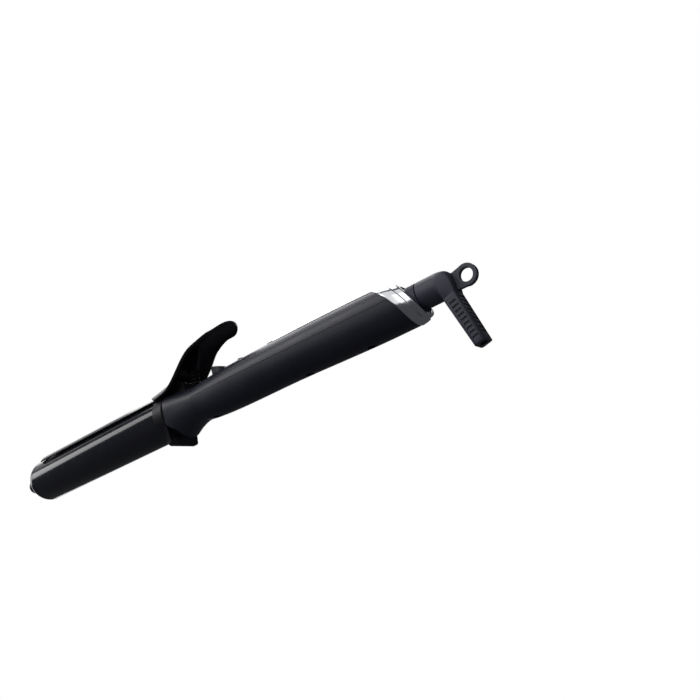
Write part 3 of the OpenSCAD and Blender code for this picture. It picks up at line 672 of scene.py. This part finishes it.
# %% [markdown]
# ### Nose
# The nose is the same skin closed all round, from the barrel's mouth to the joint with the shells.
# Under the barrel its rim is cut back where the skirt flares out over the foot, and the top has a
# slot for the block that carries the hinge.

# %% Nose
def nose_loops(rows=44, count=168):
    """Outer rows from rim to joint, then inner rows back, so that the wall closes on itself."""
    turn = np.linspace(0, 2 * np.pi, count, endpoint=False)[None, :]
    i = np.linspace(0, 1, rows)[:, None]

    def wall_rows(inset):
        guess = skin(nose_x + 0 * turn, turn, inset)[..., 2]
        rim = nose_x + 6 * ease((-guess - 6) / 13)
        return skin(rim + (nose_end - rim) * i, turn + 0 * i, inset)

    return np.concatenate([wall_rows(0.0), wall_rows(shell)[::-1]])


loft("nose_skin", nose_loops(), "handle", handle_plastic, ["nose_cone"], ring=True, edge=0.2,
     cuts=[(12.6, 0, 6, 12.7, 7.5, 24, 4)])

# %% [markdown]
# ### Bezel, panel and trim
# A chromed band closes the slanted end. Its section has a broad face, a step and a narrow second
# face that turns in towards the dark end cap. The polished panel on the back of the handle is a
# long tongue, and a thin bright strip runs round it.

# %% Bezel
bezel_w = 9
bezel_section = rounded([[0, -0.25], [0.07, -0.3], [0.36, 0.1], [0.62, 0.7], [0.64, 1.4], [0.95, 2.2],
                         [1, 2.6], [1, 4.2], [0, 3.2]], 0.08, 4)


def bezel_loops(count=240):
    """The section carried round the slanted end; each point knows its share of the width and inset."""
    turn = np.linspace(0, 2 * np.pi, count, endpoint=False)[:, None]
    share = bezel_section[None, :, 0]
    inset = bezel_section[None, :, 1]
    return grip(bend_x, 1.0, turn + 0 * share, inset + 0 * turn, 0.1 + share * bezel_w)


loft("bezel_skin", bezel_loops(), "handle", trim_chrome, ["bezel"], ring=True)

# %% Panel and trim strip
panel_x = 100.0
panel_end = bend_x + 36


def panel_half(x):
    """Half angle of the panel, growing as a quarter ellipse from its point in front."""
    return 30 * np.sqrt(np.maximum(0, 1 - (1 - np.minimum(1, (x - panel_x) / 26)) ** 2))


def panel_loops(rows=90, count=20):
    """A thin lens on the skin: the top surface one way, the glued surface back."""
    share = (np.linspace(0, 1, rows) ** 1.5)[:, None]
    near = panel_x + 1.2 + (panel_end - panel_x - 1.2) * share
    half = np.maximum(0.5, panel_half(near) - 1.2)
    turn = np.radians(90 + half * np.linspace(-1, 1, count)[None, :])
    over = grip(panel_x + 1.2, share, turn, -0.33)
    under = grip(panel_x + 1.2, share, turn, -0.05)
    return np.concatenate([over, under[:, ::-1]], 1)


def trim_loops(rows=110, wide=5.0):
    """A crowned strip along one side of the panel, round its point and back along the other."""
    share = np.linspace(0, 1, rows) ** 1.5
    share = np.concatenate([share[::-1], share])
    side = np.repeat([-1.0, 1.0], rows)
    centre = 90 + side * (panel_half(panel_x + (panel_end - panel_x) * share) + wide / 2 + 0.2)
    across = np.array([-1, -0.7, 0, 0.7, 1, 1, 0, -1]) * wide / 2
    lift = -np.array([0.25, 0.45, 0.5, 0.45, 0.25, 0.05, 0.05, 0.05])
    turn = np.radians(centre[:, None] - side[:, None] * across[None, :])
    return grip(panel_x - 1, share[:, None], turn, lift[None, :] + 0 * turn)


loft("panel_skin", panel_loops(), "handle", panel_gloss, ["top_panel"], edge=0.1)
loft("trim_skin", trim_loops(), "handle", trim_chrome, ["trim_strip"])

# %% [markdown]
# ## The swivel elbow
# The elbow turns the cord down behind the handle. It is one rubbery moulding: a round collar
# that turns through a right angle into a rectangular sleeve. A profile carried along a bent path gives it,
# with the section changing from a circle to a rounded rectangle as it goes.

# %% Elbow path and section
swivel_z = -2.3
swivel_r = (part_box("swivel_socket")[1].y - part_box("swivel_socket")[0].y) * 500 - 1.0
groove_x = bend_x + bend_r + 5.5
boot_x = groove_x + 16
boot_w, boot_deep = 13.0, 9.0
top_slope = 0.28
boot_lean = math.radians(14)


def elbow_loops(rows=64, count=112):
    """Collar rows are circles; then the section plane turns about a hinge line at the inner corner.

    In each plane the section reaches from near the hinge line to an outer edge whose distance
    follows a squarish superellipse between a top that slopes down and the upright back, so the
    outside has a firm corner while the inside stays tight."""
    lean = np.array([np.cos(boot_lean), np.sin(boot_lean)])
    end = np.array([boot_x + 9.5 * np.sin(boot_lean), swivel_z - 9.5 * np.cos(boot_lean)])
    pivot = end - lean * (boot_deep / 2 + inner_edge)
    last = np.pi / 2 - boot_lean
    share = np.linspace(0, 1, rows)[:, None]
    angle = last * ease(share)
    tall = swivel_z + swivel_r - pivot[1]
    deep = (boot_deep + inner_edge) / np.sin(last)
    firm = 6.0
    over = (np.cos(angle) + top_slope * np.sin(angle)) / tall
    outer = ((np.sin(angle) / deep) ** firm + over ** firm) ** (-1 / firm)
    first_in = tall - 2 * swivel_r
    inner = first_in + (inner_edge - first_in) * share
    outer = outer + (boot_deep + inner_edge - outer[-1]) * ease(share)
    turn = np.linspace(0, 2 * np.pi, count, endpoint=False)[None, :]
    square = ease(share * 1.15)
    exponent = 2 / (2 + 5 * square)
    half = swivel_r + (boot_w / 2 - swivel_r) * ease(share * 1.1)
    side = np.sign(np.cos(turn)) * np.abs(np.cos(turn)) ** exponent * half
    swing = np.sign(np.sin(turn)) * np.abs(np.sin(turn)) ** exponent
    reach = swing * (outer - inner) / 2 + (outer + inner) / 2
    bent = np.stack([pivot[0] + reach * np.sin(angle), side, pivot[1] + reach * np.cos(angle)], -1)
    collar_x0 = np.array([groove_x + 0.25, groove_x + 0.6, pivot[0] - 3, pivot[0] - 1])
    shrink = np.array([0.25, 0.0, 0.0, 0.0])[:, None]
    radius = swivel_r - shrink
    collar = np.stack([collar_x0[:, None] + 0 * turn, radius * np.cos(turn),
                       swivel_z + radius * np.sin(turn)], -1)
    return np.concatenate([collar, bent])


inner_edge = 0.9
loft("elbow_skin", elbow_loops(), "swivel", cord_rubber, ["cord_elbow"], edge=0.3)

# %% Hanging loop
loop_x = boot_x + boot_deep / 2 + 9.7
loop_z = swivel_z - 0.5
hole_r, rim_r, plate = 4.1, 6.7, 3.0


def loop_rings(count=96):
    """A flat ring with rounded edges: outer edge, near face, hole and far face."""
    turn = np.linspace(0, 2 * np.pi, count, endpoint=False)[:, None]
    line = rounded([[rim_r, -plate / 2], [rim_r, plate / 2], [hole_r, plate / 2], [hole_r, -plate / 2]], 0.4)
    r, y = line[None, :, 0], line[None, :, 1]
    return np.stack([loop_x + r * np.cos(turn), y + 0 * turn, loop_z + r * np.sin(turn)], -1)


loft("hanging_loop", loop_rings(), "swivel", cord_rubber, ring=True)

# %% Web that joins the loop to the elbow
def web_loops():
    """A plate from inside the elbow to the loop's ring, hollowed to the ring's outer edge."""
    count = 16
    a = np.linspace(np.pi * 0.55, np.pi * 1.45, count)
    ring_side = np.stack([loop_x + (rim_r - 0.35) * np.cos(a), loop_z + (rim_r - 0.35) * np.sin(a)], -1)
    elbow_side = np.stack([np.full(count, boot_x + 0.5), np.linspace(loop_z - 6.1, loop_z + 3.4, count)], -1)
    line = np.concatenate([ring_side, elbow_side])
    return np.stack([np.stack([line[:, 0], np.full(len(line), y), line[:, 1]], -1)
                     for y in (-plate / 2, plate / 2)])


loft("loop_web", web_loops(), "swivel", cord_rubber, edge=0.35)

# %% [markdown]
# ## Floor, light and camera
# The floor is plain and pale and has one side only: from below, where this view looks up a little
# at the iron, it lets the light and the view through. Glossy black things show what they mirror,
# so one long softbox makes the crisp strip on the barrel, and a wide soft one above and behind lifts
# the top of the handle. Two cards brighten the handle's top and the chrome bezel.

# %% Floor
floor_gap = 0.0008  # the floor lies this far below the lowest point, the end of the cord sleeve
low_point = cad_box[0].z - floor_gap
floor_mesh = bpy.data.meshes.new("floor")
span = 4.0
floor_mesh.from_pydata([(-span, -span, low_point), (span, -span, low_point), (span, span, low_point),
                        (-span, span, low_point)], [], [(0, 1, 2, 3)])
floor = bpy.data.objects.new("floor", floor_mesh)
bpy.context.scene.collection.objects.link(floor)
floor_paint = finish("floor_paint", (0.78, 0.78, 0.785), (0.82, 0.82, 0.825), (0.7, 0.85),
                     60, (0.05, 0.5), patch=3)
tree = floor_paint.node_tree
side_of = tree.nodes.new("ShaderNodeNewGeometry")
clear_side = tree.nodes.new("ShaderNodeBsdfTransparent")
either = tree.nodes.new("ShaderNodeMixShader")
tree.links.new(side_of.outputs["Backfacing"], either.inputs["Fac"])
tree.links.new(tree.nodes["Principled BSDF"].outputs["BSDF"], either.inputs[1])
tree.links.new(clear_side.outputs["BSDF"], either.inputs[2])
tree.links.new(either.outputs["Shader"], tree.nodes["Material Output"].inputs["Surface"])
floor_mesh.materials.append(floor_paint)
floor.visible_glossy = False
floor.visible_diffuse = False
print("floor at", round(low_point * 1000, 1), "mm")

# %% Light
def softbox(name, direction, distance, size, power_w, aim=(-60, 0, 0), along=(1, 0, 0)):
    """A flat lamp at a direction from the aim point, turned to face it, its long side along an axis."""
    data = bpy.data.lights.new(name, "AREA")
    data.shape = "RECTANGLE"
    data.size, data.size_y = size
    data.energy = power_w
    lamp = bpy.data.objects.new(name, data)
    bpy.context.scene.collection.objects.link(lamp)
    target = Vector(placed([aim])[0])
    back = Vector(direction).normalized()
    side = (Vector(along) - back * Vector(along).dot(back)).normalized()
    lamp.visible_camera = False
    lamp.matrix_world = Matrix.Translation(target + back * distance) @ Matrix(
        (side, back.cross(side), back)).transposed().to_4x4()
    return lamp


softbox("strip softbox", (-0.72, -0.455, 0.525), 1.1, (1.6, 0.34), 4.6)
softbox("grey card above", (-0.73, 0.1, 0.67), 1.1, (1.2, 0.5), 0.8)
softbox("white backdrop", (-0.55, 0.76, 0.34), 1.4, (2.6, 1.1), 9.5)
softbox("overhead softbox", (-0.45, 0.25, 0.86), 1.0, (0.8, 0.7), 2.6, aim=(150, 0, 0))
softbox("front fill", (0.3, -0.85, 0.4), 1.6, (1.2, 1.0), 2.5, aim=(60, 0, 0))
softbox("handle card", (-0.5, 0.45, 0.72), 1.0, (0.7, 0.5), 1.65, aim=(110, 0, 0))
softbox("bezel card", (-0.24, -0.75, 0.62), 0.45, (0.5, 0.6), 0.75, aim=(195, 0, 0))

# %% Surroundings
world = bpy.data.worlds.new("studio")
bpy.context.scene.world = world
world.use_nodes = True
sky = world.node_tree
seen = sky.nodes["Background"]
seen.inputs["Color"].default_value = (1, 1, 1, 1)
seen.inputs["Strength"].default_value = 1.0
mirrored = sky.nodes.new("ShaderNodeBackground")
mirrored.inputs["Color"].default_value = (0.88, 0.9, 1.0, 1)
mirrored.inputs["Strength"].default_value = 0.07
ray = sky.nodes.new("ShaderNodeLightPath")
pick = sky.nodes.new("ShaderNodeMixShader")
sky.links.new(ray.outputs["Is Camera Ray"], pick.inputs["Fac"])
sky.links.new(mirrored.outputs["Background"], pick.inputs[1])
sky.links.new(seen.outputs["Background"], pick.inputs[2])
sky.links.new(pick.outputs["Shader"], sky.nodes["World Output"].inputs["Surface"])
bpy.context.scene.view_settings.view_transform = "Standard"

# %% Camera
camera_data = bpy.data.cameras.new("camera")
camera_data.lens = 38.67
camera_data.sensor_width = 36
camera_data.clip_start = 0.01
camera = bpy.data.objects.new("camera", camera_data)
bpy.context.scene.collection.objects.link(camera)
ahead = Vector((-0.468, 0.8305, 0.3023)).normalized()
up = Vector((0.3874, -0.1146, 0.9148))
right = ahead.cross(up).normalized()
up = right.cross(ahead)
camera.matrix_world = Matrix.Translation(Vector(placed([(371.8, -381.8, -151.6)])[0])) @ Matrix(
    (right, up, -ahead)).transposed().to_4x4()
bpy.context.scene.camera = camera
print("camera at", [round(v, 3) for v in camera.matrix_world.translation])

# %% [markdown]
# ## Last step
# The view layer is updated so that every piece stands where it was placed.

# %% Update the scene
bpy.context.view_layer.update()
